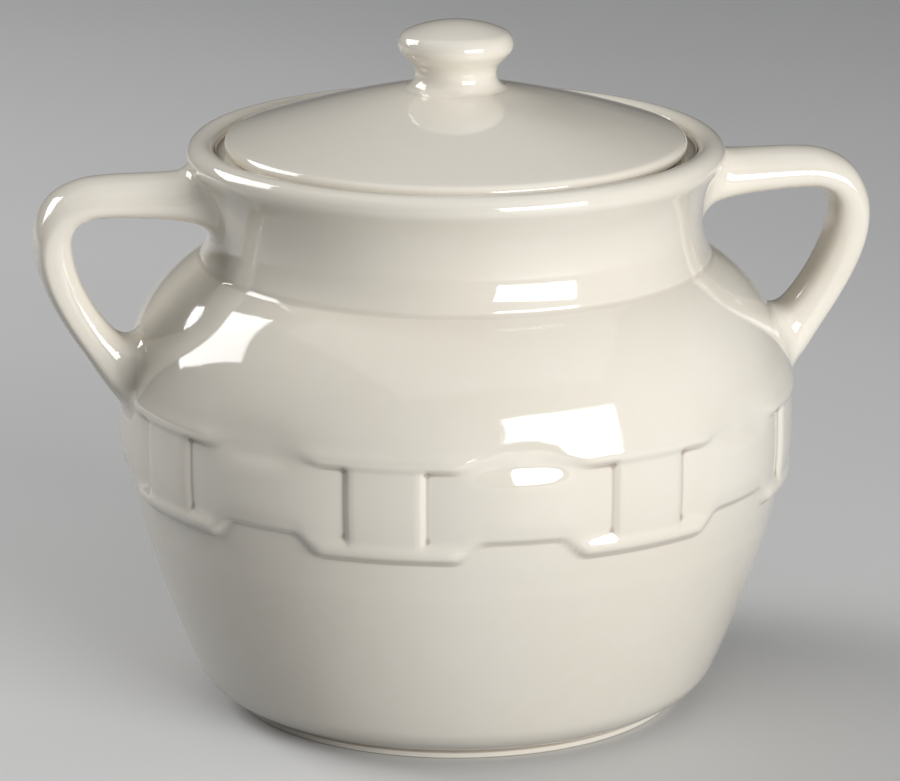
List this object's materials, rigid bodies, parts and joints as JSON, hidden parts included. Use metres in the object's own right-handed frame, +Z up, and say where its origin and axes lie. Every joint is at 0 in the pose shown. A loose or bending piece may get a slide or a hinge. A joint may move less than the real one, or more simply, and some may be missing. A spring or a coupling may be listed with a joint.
{
  "type": "cookie jar",
  "caption": "Round ivory-glazed stoneware cookie jar with a basket-weave relief band, loop handles at the shoulder and a lift-off domed lid with a knob; stores biscuits on a worktop.",
  "frame": {"origin": "centre of the foot ring's resting face, on the jar's axis", "axes": "+Z up along the jar's axis; +X along the line of the two handles; the woven band looks the same towards +Y and -Y"},
  "size_m": [0.2676, 0.215, 0.2173],
  "materials": {
    "ivory_glaze": "high-gloss warm ivory glaze over stoneware"
  },
  "bodies": {
    "jar": {"jar_body": "ivory_glaze", "handle_left": "ivory_glaze", "handle_right": "ivory_glaze"},
    "lid": {"lid": "ivory_glaze", "lid_knob": "ivory_glaze"}
  },
  "joints": [
    {"name": "lid_lift", "type": "slide", "parent": "jar", "child": "lid", "axis": [0, 0, 1], "range_m": [0, 0.2]}
  ]
}
